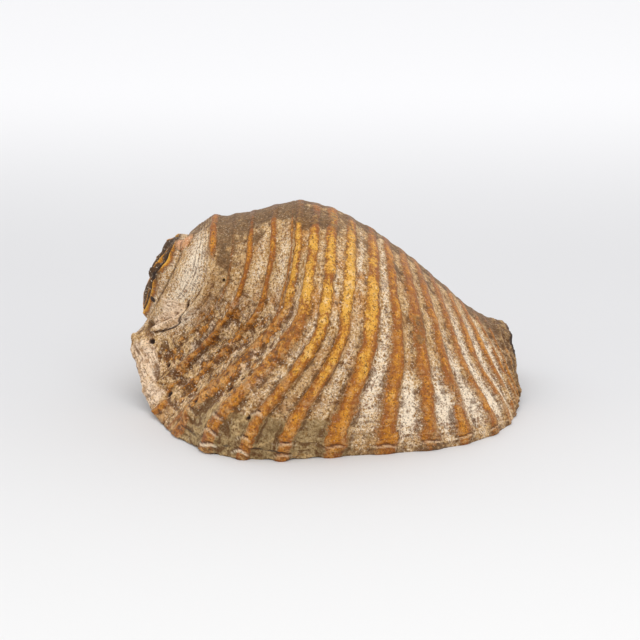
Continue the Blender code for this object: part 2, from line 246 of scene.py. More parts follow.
def front_arc(s, v):
    """Arc from the crest (v 0) down the front to the outer lip (v 1).

    Depth follows a power of sine and height a power of cosine over a quarter turn, less a forward
    bulge. The sideways sweep is a power of the way down, blended with a late smooth step.
    """
    f = through(s, STATION_S, STATION_TABLE)
    phi = v * math.pi / 2
    reach = np.sin(phi) ** 0.88
    height = np.clip(np.cos(phi), 0, 1) ** 0.95
    y = f[..., 1] + (f[..., 4] - f[..., 1]) * reach - f[..., 9] * np.sin(math.pi * v)
    z = f[..., 5] + (f[..., 2] - f[..., 5]) * height
    down = 0.8 * (1 - height) + 0.2 * reach
    sweep = (1 - f[..., 7]) * down ** f[..., 6] + f[..., 7] * ease(down, 0.45, 0.96)
    x = f[..., 0] + (f[..., 3] - f[..., 0]) * sweep + f[..., 8] * np.sin(math.pi * down)
    return np.stack([x, y, z], -1)


def back_arc(s, w):
    """Arc from the crest (w 0) over the back and the underside to the columella edge (w 1).

    Part of an ellipse in y and z, drawn in under the shell, with its end pulled to a set point.
    """
    f = through(s, STATION_S, STATION_TABLE)
    b = through(s, BACK_S, BACK_TABLE)
    last = math.radians(TURN_BACK)
    tuck = 0.36 * ease(s, 0.0, 0.2)

    def point(phi, radius):
        drop = (1 - np.cos(np.minimum(phi, math.pi))) / 2
        x = f[..., 0] + (b[..., 2] - f[..., 0]) * drop ** 1.3
        y = f[..., 1] + b[..., 1] * np.sin(phi) * radius
        z = b[..., 0] + (f[..., 2] - b[..., 0]) * np.cos(phi) * radius
        return np.stack([x, y, z], -1)

    free = point(w * last, 1 - tuck * ease(w, 0.52, 1.0))
    end = point(np.full_like(w, last), 1 - tuck)
    pull = (ease(w, 0.45, 1.0) ** 1.5)[..., None]
    return free + (b[..., 2:5] - end) * pull


def smooth_wall(s, u):
    """The wall without ribs: the back arc up to the crest, then the front arc."""
    over_back = back_arc(s, np.clip((CREST_SHARE - u) / CREST_SHARE, 0, 1))
    over_front = front_arc(s, np.clip((u - CREST_SHARE) / (1 - CREST_SHARE), 0, 1))
    return np.where((u < CREST_SHARE)[..., None], over_back, over_front)


def wall_normal(s, u):
    """Outward direction: the cross product of the wall's slopes along u and along s."""
    step = 0.004
    along_s = smooth_wall(np.clip(s + step, 0, 1), u) - smooth_wall(np.clip(s - step, 0, 1), u)
    along_u = smooth_wall(s, np.clip(u + step, 0, 1)) - smooth_wall(s, np.clip(u - step, 0, 1))
    n = np.cross(along_u, along_s)
    return n / np.maximum(np.linalg.norm(n, axis=-1, keepdims=True), 1e-9)


def spots(s, v, table):
    """Sum of soft oval spots, each a bell of the distance in s and in the front share v."""
    total = np.zeros_like(s)
    for at_s, at_v, half_s, half_v, amount in table:
        total += amount * bell(s - at_s, half_s) * bell(v - at_v, half_v)
    return total


def soften(grid, reach):
    """Mean of the neighbours within reach lines, along one axis and then the other."""
    for axis in (0, 1):
        pad = [(0, 0), (0, 0)]
        pad[axis] = (reach + 1, reach)
        run = np.cumsum(np.pad(grid, pad, mode="edge"), axis=axis)
        count = grid.shape[axis]
        high = np.take(run, np.arange(2 * reach + 1, 2 * reach + 1 + count), axis=axis)
        low = np.take(run, np.arange(0, count), axis=axis)
        grid = (high - low) / (2 * reach + 1)
    return grid


def crumpled(points, size, seed):
    """Sharp folds, 0 to 1: one less the size of a noise field read at places pushed by noise."""
    push = np.stack([noise(points, size * 2.2, seed + k) for k in range(3)], -1)
    return 1 - np.clip(np.abs(noise(points + size * 1.3 * push, size, seed + 3)) * 2.4, 0, 1)


def rib_field(s, u, points):
    """Flat-topped rib profile, and the coat: 1 on the middle of a rib, 0 past its edge."""
    wander = 0.0026 * noise(points, 17.0, 3) + 0.0016 * noise(points, 6.0, 4)
    ragged = 0.15 * rough(points, 3.5, 5, 3) + 0.14 * noise(points, 14.0, 6)
    to_lip = ease(u, 0.72, 0.92)
    profile = np.zeros_like(s)
    coat = np.zeros_like(s)
    for middle, half, half_lip, tall, strength in RIBS:
        t = np.abs(s - middle + wander) / (half + (half_lip - half) * to_lip) + ragged
        profile = np.maximum(profile, tall * np.clip(1 - np.clip(t / 1.25, 0, 1) ** 2.4, 0, 1))
        here = strength * np.clip(1.25 - t, 0, 1.2)
        if middle < 0.1:
            here = here * (1 - ease(u, 0.6, 0.72))
        coat = np.maximum(coat, here)
    return profile, coat


def joint_field(s, v, points):
    """Joints on the ribs: barrels between arched edges, a pale line on each edge, painted shade below it."""
    lift = np.zeros_like(s)
    edge = np.zeros_like(s)
    under = np.zeros_like(s)
    for at_s, at_v, white in JOINTS:
        across = np.clip(1 - ((s - at_s) / 0.0135) ** 2, 0, 1)
        off = v - at_v - 0.012 * (1 - across) + 0.005 * noise(points, 3.5, 9)
        barrel = np.clip(off / 0.04, 0, 1)
        lift = np.maximum(lift, across * (1 - barrel) * (off > 0))
        edge = np.maximum(edge, white * across ** 0.7 * bell(off - 0.002, 0.0026))
        under = np.maximum(under, across ** 0.7 * bell(off + 0.003, 0.0026))
    return lift, edge, under


def push_lumps(points):
    """Swell the points near each lump along its direction, and return how pink each one is."""
    total = np.zeros(points.shape[:-1])
    for at_s, at_v, radius, tall, way, pink in LUMPS:
        centre = front_arc(np.array([at_s]), np.array([at_v]))[0]
        swell = np.exp(-(((points - centre) ** 2).sum(-1) / radius ** 2) ** 1.5)
        points += swell[..., None] * tall * np.array(way)
        total = np.maximum(total, pink * swell)
    return total


def hole_field(s, v, points):
    """Soft round holes centred where the table says, measured on the wall."""
    total = np.zeros_like(s)
    for at_s, at_v, size in HOLES:
        centre = front_arc(np.array([at_s]), np.array([at_v]))[0]
        off = (points - centre) * (1 + 0.35 * noise(points, 1.5, 13))[..., None]
        total = np.maximum(total, np.exp(-((off ** 2).sum(-1) / size ** 2) ** 2))
    return total


def left_zones(s, v, plain):
    """Three places at the left of the front, 0 to 1: lumpy crust, crumpled folds, and a pale lobe."""
    crust = band(s, 0.1, 0.17, 0.36, 0.48) * band(v, 0.5, 0.72, 0.93, 0.96)
    folds = band(s, 0.115, 0.15, 0.28, 0.34) * band(v, 0.86, 0.92, 0.955, 0.97)
    wavy = v + 0.016 * noise(plain, 9.0, 59)
    lobe = band(s, 0.1, 0.13, 0.22, 0.29) * ease(wavy, 0.945, 0.965)
    return crust, folds, lobe


def rib_height(s, u, settings):
    """Height of a full rib in millimetres: low on the crest, tall near the lip, none underneath."""
    to_lip = ease(u, 0.5, 0.95)
    tall = settings.rib_crest * 1000 * (1 - to_lip) + settings.rib_lip * 1000 * to_lip
    tall = tall * ease(u, 0.1, 0.26) * (1 - 0.5 * ease(u, 0.95, 1.0))
    tall = tall * (1 - 0.6 * bell(u - CREST_SHARE + 0.02, 0.07))
    return tall * (1 + 0.45 * ease(u, 0.74, 0.86) * (1 - ease(s, 0.54, 0.64)))


def crust_relief(s, u, v, plain, zones):
    """Lumps, folds, growth lines and layers in millimetres, and the flow lines of the folds.

    Growth lines are a sine of u pushed by noise. Layers are saw teeth of it, steep towards the lip.
    """
    crust, folds, lobe = zones
    flow = np.sin(15 * (noise(plain, 13.0, 35) + 0.5 * noise(plain, 5.5, 36)))
    warp = u + 0.004 * noise(plain, 16.0, 51) + 0.0012 * noise(plain, 4.0, 53)
    knobs = 1.5 * noise(plain, 8.0, 57) + 0.9 * crumpled(plain, 6.0, 58) ** 2
    lumps = 0.75 * rough(plain, 8.0, 21, 5) * crust
    lumps = lumps + (0.2 + 0.8 * ease(s, 0.92, 0.99)) * rough(plain, 5.0, 31, 4)
    lumps = lumps + folds * (0.9 * crumpled(plain, 7.0, 37) ** 2 + 0.1 * flow - 0.3)
    lumps = lumps + 0.25 * crust * crumpled(plain, 3.6, 39) ** 2
    lumps = lumps + lobe * (0.14 * np.sin(warp * 700) + knobs)
    growth = 0.06 * np.sin(warp * 640) * (0.3 + 0.7 * noise(plain, 9.0, 52) ** 2) * ease(u, 0.44, 0.54)
    tooth = (warp * 60 + 1.3 * noise(plain, 10.0, 54) + 0.5 * noise(plain, 4.0, 55)) % 1.0
    rows = ease(v + 0.04 * noise(plain, 14.0, 56), 0.93, 0.97) + ease(s, 0.55, 0.65) * ease(v, 0.89, 0.94)
    layers = (0.38 - 0.24 * ease(s, 0.52, 0.62)) * tooth ** 2 * np.clip(rows, 0, 1)
    return lumps + growth + layers * (1 - folds) * (1 - lobe), flow


def crack_field(s, v):
    """The crack across the ramp, and the plate beside it that stands a little proud, 0 to 1."""
    crack_s = through(v, [row[0] for row in CRACK], [[row[1]] for row in CRACK])[..., 0]
    along = band(v, 0.74, 0.8, 0.945, 0.965)
    return bell(s - crack_s, 0.0021) * along, band(crack_s - s, 0.0, 0.004, 0.06, 0.08) * along


def earth_field(s, u, v, plain):
    """Brown cover, 0 to 1.2: the listed spots, the crest, and a strip along the lip."""
    top = 1.05 - np.abs(u - CREST_SHARE + 0.02) / 0.13 + 0.8 * rough(plain, 13.0, 75, 4)
    bare = bell(s - 0.46, 0.1) * ease(u, CREST_SHARE - 0.01, CREST_SHARE + 0.02)
    top = 1.05 * np.clip(top, 0, 1) * (1 - 0.4 * bare)
    strip = 0.7 * ease(v, 0.955, 0.985) * ease(s, 0.34, 0.4)
    return np.clip(spots(s, v, EARTH_SPOTS) + top + strip, 0, 1.2)


def worn_coat(s, u, v, plain, coat, ragged, zones):
    """The coat less what is worn off: at the left, at the lower right, at the canal end and underneath."""
    crust, folds, lobe = zones
    coat = coat * (1 - 0.5 * crust * ease(ragged, 0.0, 0.6)) * (1 - 0.7 * folds) * (1 - lobe)
    rubbed = ease(s, 0.6, 0.7) * ease(v, 0.55, 0.85) * ease(ragged, -0.2, 0.6)
    broken = ease(s, 0.76, 0.84) * ease(v, 0.52, 0.72) * ease(rough(plain, 9.0, 74, 3), -0.15, 0.15)
    thin = ease(s, 0.74, 0.84) * ease(rough(plain, 7.0, 73, 3), -0.1, 0.5)
    worn = np.maximum.reduce([rubbed, 1.33 * broken, 0.8 * thin])
    return coat * (1 - 0.75 * worn) * (0.45 + 0.55 * ease(u, 0.1, 0.5)) * ease(u, 0.04, 0.16)


def canal_dark(s, plain, ragged):
    """Dark grime at the broken canal end, 0 to 0.9."""
    return np.maximum(0.9 * ease(s, 0.975, 1.0) * ease(ragged, -0.8, 0.2),
                      0.62 * ease(s, 0.9, 0.96) * ease(rough(plain, 5.0, 83, 3), -0.1, 0.7))


def lip_line(s, v, plain):
    """Broken dark line that runs just above the outer lip, 0 to 0.8."""
    line = bell(v - 0.972 + 0.005 * noise(plain, 9.0, 78), 0.0042) * ease(s, 0.3, 0.36) * 0.8
    return line * ease(rough(plain, 6.0, 79, 2), -0.8, 0.2) * (1 - 0.7 * ease(s, 0.5, 0.6))


def outside(s, u, plain, settings):
    """Height of the outside over the smooth wall, and the masks that its finish reads."""
    v = np.clip((u - CREST_SHARE) / (1 - CREST_SHARE), 0, 1)
    profile, coat = rib_field(s, u, plain)
    zones = left_zones(s, v, plain)
    crust, folds, lobe = zones
    joints, edge, under = joint_field(s, v, plain)
    crack, plate = crack_field(s, v)
    holes = hole_field(s, v, plain)
    suture = bell(s, 0.006) * ease(u, 0.2, 0.4)
    striae = 0.11 * np.sin(s / 0.0088 * 2 * math.pi) * band(s, 0.03, 0.04, 0.08, 0.088)
    body = ease(s, 0.0, 0.05)
    ribs = profile * rib_height(s, u, settings) * body
    relief, flow = crust_relief(s, u, v, plain, zones)

    height = ribs + body * ease(u, 0.08, 0.2) * relief
    height = height + 0.7 * joints + 0.3 * edge - 0.4 * under + striae * (1 - ease(v, 0.7, 0.85))
    height = height - 1.2 * crack + 0.5 * plate - 2.2 * holes - 0.5 * suture
    height = height * ease(u, 0.02, 0.16) + 0.07 * rough(plain, 3.0, 61, 3)

    fine = height - ribs - 0.7 * joints
    # how far each point lies below its neighbours: the finish paints shade in the hollows and highlights on
    # the raised parts from it
    sunk = 1.6 * (soften(fine, 2) - fine) + 0.5 * (soften(fine, 6) - fine)
    sunk = sunk + 0.5 * (soften(height, 2) - height)
    ragged = rough(plain, 9.0, 71, 3)
    # painted pool of light on the middle of the front: gold and light rib tops, and a warmer crust
    painted_light_pool = bell(s - 0.47, 0.14) * bell(v - 0.4, 0.34) * (1.1 + 0.6 * noise(plain, 13.0, 77))
    # dark marks: the crack, the suture, the lip line and the canal end; painted shade in the holes, in the
    # hollow under the ramp's end and below each joint's edge
    dark = np.maximum.reduce([0.9 * crack, 0.6 * suture, 1.3 * holes, lip_line(s, v, plain),
                              canal_dark(s, plain, ragged), spots(s, v, HOLLOW_SHADE_SPOTS),
                              0.75 * under * (1 - 0.6 * ease(s, 0.55, 0.62))])
    masks = {
        "coat": worn_coat(s, u, v, plain, coat, ragged, zones),
        "painted_light_pool": np.clip(painted_light_pool, 0, 1.3),
        "pale": spots(s, v, PALE_SPOTS) + 0.45 * (1 - ease(u, 0.16, CREST_SHARE)),
        "earth": earth_field(s, u, v, plain),
        "dark": dark,
        "edge": edge,
        "bloom": np.maximum(lobe, 0.8 * plate),
        "folds": folds,
        "olive": band(s, 0.33, 0.37, 0.56, 0.64) * ease(v, 0.84, 0.9),
        "flow": flow,
        "crust": np.maximum(crust, folds),
        "sunk": np.clip(sunk, -1, 1) * (1 - 0.6 * lobe),
    }
    return height, masks


MASKS = ("coat", "painted_light_pool", "pale", "earth", "dark", "edge", "bloom", "folds", "olive", "flow", "crust", "sunk",
         "lump", "inside", "spire")


def even_lines(count, density):
    """Shares from 0 to 1, closer together where the density table is higher."""
    fine = np.linspace(0, 1, 4001)
    weight = np.interp(fine, [row[0] for row in density], [row[1] for row in density])
    run = np.concatenate([[0], np.cumsum((weight[1:] + weight[:-1]) / 2)])
    return np.interp(np.linspace(0, run[-1], count), run, fine)


def wall_sheets(settings):
    """Outer sheet, inner sheet with half as many lines, and the masks of both."""
    s_fine = even_lines(LINES_ALONG, DENSE_ALONG)
    u_fine = even_lines(LINES_ROUND, DENSE_ROUND)
    s, u = np.meshgrid(s_fine, u_fine, indexing="ij")
    plain = smooth_wall(s, u)
    normal = wall_normal(s, u)
    height, masks = outside(s, u, plain, settings)
    outer = plain + normal * height[..., None]

    wall = settings.wall * 1000
    depth = wall + (settings.lip_wall * 1000 - wall) * ease(u, 0.85, 1.0)
    rolled = settings.columella_wall * 1000 - wall
    depth = depth + rolled * bell(u - 0.03, 0.05) * ease(s, 0.02, 0.15)
    depth = depth + 0.12 * rough(plain, 12.0, 81, 3)
    inner = (plain - normal * depth[..., None])[::2, ::2]

    seam = (outer[0, 0] + outer[0, -1]) / 2
    outer[0, 0] = seam
    outer[0, -1] = seam
    inward = plain[s_fine < 0.14].mean(axis=(0, 1)) - seam
    inner[0, 0] = seam + inward / np.linalg.norm(inward) * wall
    inner[0, -1] = inner[0, 0]
    nick = np.clip(rough(np.outer(s_fine, (190, 0, 0)), 5.0, 91, 3), 0, 1)
    chipped = nick * band(s_fine, 0.08, 0.2, 0.9, 1.0)
    outer[:, -1, 2] += chipped
    outer[:, -2, 2] += 0.4 * chipped
    inner[:, -1, 2] += 0.6 * chipped[::2]
    outer[..., 2] = np.maximum(outer[..., 2], 0.0)
    inner[..., 2] = np.maximum(inner[..., 2], 0.0)
    masks["lie"] = np.stack([s, u, 0 * s], -1)
    return outer, inner, masks


def spire_surface(loop):
    """Rings from the suture loop to the apex: the loop shrunk by a radius share, lifted by height.

    The lift is tallest at the front and the back, and is torn by noise round the ragged rims.
    """
    centre = loop.mean(axis=0)
    turned = np.roll(loop, -1, axis=0)
    axis = np.cross(loop - centre, turned - centre).sum(axis=0)
    axis = axis / np.linalg.norm(axis)
    axis = -axis if axis[0] > 0 else axis
    off_plane = (loop - centre) @ axis
    flat = loop - np.outer(off_plane, axis)
    upward = np.array([0.0, 0.0, 1.0]) - axis[2] * axis
    upward = upward / np.linalg.norm(upward)
    sideward = np.cross(axis, upward)
    angle = np.arctan2((flat - centre) @ sideward, (flat - centre) @ upward)
    steps = np.linspace(0, 1, SPIRE_RINGS + 1)[1:]
    table = through(steps, np.linspace(0, 1, len(SPIRE_PROFILE)), SPIRE_PROFILE)
    share = table[:, 0][:, None]
    across, up = np.cos(angle) * 14 + 0 * share, np.sin(angle) * 14 + 0 * share
    place = np.stack([across, up, share * 30 + 0 * angle], -1)
    tear = 0.14 * rough(place, 7.0, 101, 4)
    lift = SPIRE_HEIGHT * table[:, 1][:, None] * (0.4 + 0.3 * np.sin(angle) ** 2)
    lift = lift * (1 + table[:, 2][:, None] * tear) + off_plane * share ** 3
    radius = share * (1 - 0.1 * (1 - share) * np.sin(angle)) * (1 + 0.02 * rough(place, 4.0, 111, 3))
    rings = centre + (flat - centre) * radius[..., None] + axis * lift[..., None]
    torn = share + 0.012 * rough(place, 5.0, 131, 3)
    hole = (rings - SPIRE_HOLE) / SPIRE_HOLE_SIZE
    hole = 1.3 * np.exp(-((hole ** 2).sum(-1)) ** 2)
    # painted shade: the hole, the gap between the torn layers, and the hollow inside the inner rings
    gap = hole + 1.2 * bell(torn - 0.862, 0.024) + 0.5 * ease(-share, -0.76, -0.66)
    rim = 1.4 * bell(torn - 0.928, 0.03) + 0.9 * bell(torn - 0.8, 0.024)
    fields = {"dark": gap + 0 * radius, "coat": rim * (0.8 + 1.1 * noise(place, 8.0, 121)),
              "spire": 1 - ease(share, 0.93, 0.97) + 0 * radius,
              "pale": 0.5 * ease(share, 0.93, 0.97) + 0 * radius}
    return rings, centre + axis * SPIRE_HEIGHT * 0.42, fields


def sheet_faces(ids):
    """Quads of a sheet of point numbers."""
    return np.stack([ids[:-1, :-1], ids[1:, :-1], ids[1:, 1:], ids[:-1, 1:]], -1).reshape(-1, 4)


def skin_faces(outer_ids, inner_ids):
    """Faces of both sheets, and five-cornered faces across the rim where the sheets meet."""
    quads = [sheet_faces(outer_ids), sheet_faces(inner_ids)[:, [0, 3, 2, 1]]]
    rims = []
    for edge, lining, turn in ((outer_ids[:, 0], inner_ids[:, 0], False),
                               (outer_ids[:, -1], inner_ids[:, -1], True),
                               (outer_ids[-1], inner_ids[-1], False)):
        rim = np.stack([edge[:-2:2], lining[:-1], lining[1:], edge[2::2], edge[1:-1:2]], -1)
        rims.append(rim[:, ::-1] if turn else rim)
    return np.concatenate(quads), np.concatenate(rims)


def ring_faces(rows, outward):
    """Quads between closed rings of point numbers."""
    after = np.roll(rows, -1, axis=1)
    quads = np.stack([rows[:-1], after[:-1], after[1:], rows[1:]], -1).reshape(-1, 4)
    return quads if outward else quads[:, ::-1]


def shell_mesh(settings):
    """The whole skin as points, faces and masks."""
    outer, inner, masks = wall_sheets(settings)
    rings, apex, spire_fields = spire_surface(outer[0, :-1])
    masks["lump"] = push_lumps(outer)
    masks["dark"] = masks["dark"] * (1 - 0.8 * masks["lump"])
    spire_fields["lump"] = push_lumps(rings)
    loop = inner[0, :-1]
    middle = loop.mean(axis=0)
    cap = middle + (loop - middle) * np.linspace(1, 0, CAP_RINGS + 2)[1:-1, None, None]
    parts = [outer, inner, rings, apex[None], cap, middle[None]]
    sizes = np.cumsum([0] + [part.size // 3 for part in parts])
    ids = [np.arange(sizes[k], sizes[k + 1]).reshape(parts[k].shape[:-1]) for k in range(len(parts))]
    quads, rims = skin_faces(ids[0], ids[1])
    spire_rows = np.concatenate([ids[0][:1, :-1], ids[2]])
    cap_rows = np.concatenate([ids[1][:1, :-1], ids[4]])
    quads = np.concatenate([quads, ring_faces(spire_rows, True), ring_faces(cap_rows, False)])
    tips = []
    for last, tip, outward in ((ids[2][-1], ids[3][0], True), (ids[4][-1], ids[5][0], False)):
        fan = np.stack([last, np.roll(last, -1), np.full_like(last, tip)], -1)
        tips.append(fan if outward else fan[:, ::-1])
    tips = np.concatenate(tips)

    points = np.concatenate([part.reshape(-1, 3) for part in parts])
    points[:, :2] += FOOTPRINT_SHIFT
    fields = {name: np.zeros(len(points)) for name in MASKS}
    fields["lie"] = points * (0.006, 0.006, 0.004)
    for name, values in masks.items():
        fields[name][:sizes[1]] = values.reshape((sizes[1],) + fields[name].shape[1:])
    fields["inside"][sizes[1]:sizes[2]] = 1.0
    fields["inside"][sizes[4]:] = 1.0
    for name, values in spire_fields.items():
        fields[name][sizes[2]:sizes[3]] = values.reshape(-1)
    # the apex, deep in the broken spire's hollow, is painted as shade
    fields["dark"][sizes[3]:sizes[4]] = 1.0
    return points * 0.001, quads, rims, tips, fields


def make_skin(settings):
    """Put the skin into a mesh object named conch_skin."""
    points, quads, rims, tips, fields = shell_mesh(settings)
    faces = [tuple(face) for block in (quads, rims, tips) for face in block.tolist()]
    mesh = bpy.data.meshes.new("conch_skin")
    mesh.from_pydata(points.tolist(), [], faces)
    for name, values in fields.items():
        kind, key = ("FLOAT_VECTOR", "vector") if values.ndim == 2 else ("FLOAT", "value")
        attribute = mesh.attributes.new(name, kind, "POINT")
        attribute.data.foreach_set(key, values.astype(np.float32).reshape(-1))
    mesh.polygons.foreach_set("use_smooth", np.ones(len(mesh.polygons), bool))
    weld(mesh)
    skin = bpy.data.objects.new("conch_skin", mesh)
    bpy.context.scene.collection.objects.link(skin)
    return skin


def weld(mesh):
    """Join the points that share a place, such as the seam, and turn every face outwards."""
    work = bmesh.new()
    work.from_mesh(mesh)
    bmesh.ops.remove_doubles(work, verts=work.verts, dist=1e-6)
    bmesh.ops.recalc_face_normals(work, faces=work.faces)
    work.to_mesh(mesh)
    work.free()


class Wire:
    """A socket's output. Arithmetic on it adds Math nodes to the material."""

    def __init__(self, paint, socket):
        self.paint = paint
        self.socket = socket

    def math(self, operation, *inputs):
        return self.paint.node("ShaderNodeMath", {"operation": operation}, dict(enumerate(inputs)))

    def __add__(self, other):
        return self.math("ADD", self, other)

    def __sub__(self, other):
        return self.math("SUBTRACT", self, other)

    def __mul__(self, other):
        return self.math("MULTIPLY", self, other)

    def __rsub__(self, other):
        return self.math("SUBTRACT", other, self)

    __radd__ = __add__
    __rmul__ = __mul__

    def most(self, other):
        return self.math("MAXIMUM", self, other)

    def least(self, other):
        return self.math("MINIMUM", self, other)

    def ridge(self, low, high):
        """1 where the value is near 0, falling to 0 as its size goes from low to high."""
        return 1 - self.math("ABSOLUTE", self).step(low, high)

    def step(self, low, high):
        """Smooth step from 0 at low to 1 at high."""
        return self.paint.node("ShaderNodeMapRange", {"interpolation_type": "SMOOTHSTEP", "clamp": True},
                               {"Value": self, "From Min": low, "From Max": high})


class Paint:
    """One material under construction."""

    def __init__(self, name):
        self.material = bpy.data.materials.new(name)
        self.material.use_nodes = True
        self.tree = self.material.node_tree
        self.shader = self.tree.nodes["Principled BSDF"]
        self.place = self.node("ShaderNodeTexCoord", {}, {}, "Object")

    def node(self, kind, settings, inputs, output=0):
        """Add a node, set its settings, then give its sockets values or links."""
        node = self.tree.nodes.new(kind)
        for key, value in settings.items():
            setattr(node, key, value)
        for key, value in inputs.items():
            self.give(node.inputs[key], value)
        return Wire(self, node.outputs[output])

    def give(self, socket, value):
        if isinstance(value, Wire):
            self.tree.links.new(value.socket, socket)
        else:
            socket.default_value = value

    def mask(self, name):
        return self.node("ShaderNodeAttribute", {"attribute_name": name}, {}, "Fac")

    def noise(self, place, scale, detail, roughness):
        """Noise between about -1 and 1."""
        inputs = {"Vector": place, "Scale": scale, "Detail": detail, "Roughness": roughness}
        return (self.node("ShaderNodeTexNoise", {}, inputs, "Fac") - 0.5) * 3.6

    def field(self, size, detail=3.0, roughness=0.55):
        """Noise whose lumps are about size millimetres wide."""
        return self.noise(self.place, 1000.0 / size, detail, roughness)

    def streaks(self, across, along, detail=3.0):
        """Noise drawn out: lumps are across wide in share s and along long in share u."""
        lie = self.node("ShaderNodeAttribute", {"attribute_name": "lie"}, {}, "Vector")
        place = self.node("ShaderNodeVectorMath", {"operation": "MULTIPLY"},
                          {0: lie, 1: (1 / across, 1 / along, 0.0)})
        return self.noise(place, 1.0, detail, 0.6)

    def blend(self, amount, first, second):
        """Mix two colours."""
        return self.node("ShaderNodeMix", {"data_type": "RGBA", "clamp_factor": True},
                         {0: amount, 6: first, 7: second}, 2)


def tone(red, green, blue):
    """Colour from 0 to 255 screen values, as linear light."""
    parts = [c / 255 for c in (red, green, blue)]
    linear = [c / 12.92 if c <= 0.04045 else ((c + 0.055) / 1.055) ** 2.4 for c in parts]
    return (*linear, 1.0)


class ShellFields:
    """Masks and noise fields that several layers of the shell's finish share."""

    def __init__(self, paint):
        self.coat = paint.mask("coat")
        self.painted_light_pool = paint.mask("painted_light_pool")
        self.pale = paint.mask("pale")
        self.damp = paint.mask("olive")
        self.patch = paint.field(16.0, 2.0)
        self.blotch = paint.field(8.0, 3.0)
        self.mottle = paint.field(3.2, 4.0, 0.62)
        self.grain = paint.field(1.3, 3.0, 0.7)
        self.speck = paint.field(0.9, 2.0, 0.6)
        self.glint = paint.field(0.85, 2.0, 0.75)
        self.fleck = paint.field(0.75, 2.0, 0.7)
        self.crease = paint.field(4.5, 4.0, 0.6).ridge(0.02, 0.13)
        self.streak = paint.streaks(0.004, 0.05)
        self.ring = paint.streaks(0.05, 0.004)


def crust_colour(paint, f, hues):
    """Crust between the ribs: light and dark grains, greyer patches, chalk, specks, a warm stain."""
    shade = f.mottle * 0.4 + f.grain * 0.5 + f.streak * 0.4 + f.ring * 0.15
    crust = paint.blend(shade.step(-0.6, 0.2), hues.crust_shade, hues.crust)
    crust = paint.blend((f.blotch + f.patch).step(0.0, 0.7) * 0.6, crust, hues.mauve)
    light = f.grain * 0.7 + f.mottle * 0.5 + f.speck * 0.4
    crust = paint.blend(light.step(0.45, 0.85) * 0.5, crust, hues.wear_and_highlight)
    chalky = f.fleck * 0.6 + f.grain * 0.3 + f.mottle * 0.3 + f.streak * 0.25 + f.pale * 0.7
    most_chalk = (0.55 + 0.4 * f.pale).least(0.88)
    crust = paint.blend(chalky.step(0.15, 0.6) * most_chalk, crust, hues.chalk)
    dots = f.speck + f.grain * 0.3 - f.pale * 0.05
    crust = paint.blend(dots.step(0.25, 0.55) * 0.75, crust, hues.speck)
    stained = f.patch * 0.5 + f.blotch * 0.5 + f.painted_light_pool * 0.55 + f.mottle * 0.25 - f.pale * 0.5
    return paint.blend(stained.step(0.25, 0.95) * 0.55, crust, hues.coat)


def rib_colour(paint, f, painted, hues):
    """Coat: rust at its edges, orange, gold and a painted highlight on the middle ribs, rusty specks."""
    warm = painted * 0.65 + f.mottle * 0.35 + f.blotch * 0.3 + f.ring * 0.15
    rib = paint.blend(warm.step(0.15, 0.95), hues.rust, hues.coat)
    golden = painted * 0.45 - f.damp * 0.3 + f.painted_light_pool * 0.75
    golden = golden + f.blotch * 0.35 + f.mottle * 0.25 + f.grain * 0.2
    rib = paint.blend(golden.step(0.6, 1.2), rib, hues.gold)
    # painted highlight on the brightest gold of the middle ribs
    rib = paint.blend((golden + f.mottle * 0.3).step(1.15, 1.7) * 0.8, rib, hues.wear_and_highlight)
    return paint.blend((f.speck + f.grain * 0.4).step(0.25, 0.55) * 0.8, rib, hues.rust)


def left_layers(paint, f, colour, hues):
    """Folds, cream grains, ochre islands and dark creases over the crusty left of the front."""
    zone = paint.mask("crust")
    isle = paint.streaks(0.022, 0.032, 5.0) * 0.8 + f.mottle * 0.35 + f.coat * 0.9
    swirl = (paint.mask("flow") * 0.5 + f.grain).step(-0.9, 0.6)
    creased = paint.blend(swirl, hues.crust_shade, hues.crust)
    rusty = f.blotch * 0.7 + f.mottle * 0.6 + f.grain * 0.3
    creased = paint.blend(rusty.step(0.1, 0.5) * 0.7, creased, hues.rust)
    creased = paint.blend((f.fleck * 0.7 + f.mottle * 0.5).step(0.2, 0.6) * 0.6, creased, hues.bloom)
    folds = paint.mask("folds") + f.mottle * 0.3
    colour = paint.blend(folds.step(0.2, 0.6) * 0.85, colour, creased)
    cream = f.grain * 0.5 + f.fleck * 0.4 + f.blotch * 0.5 - isle * 0.4
    colour = paint.blend(zone * cream.step(0.0, 0.5) * 0.6, colour, hues.bloom)
    ochre = paint.blend((f.mottle + f.grain * 0.5).step(-0.6, 0.7), hues.rust, hues.coat)
    colour = paint.blend(zone * isle.step(0.17, 0.27) * 0.9, colour, ochre)
    outline = (isle - 0.17).ridge(0.01, 0.11)
    return paint.blend(zone * outline.most(f.crease * 0.9) * 0.9, colour, hues.dirt_and_shade)


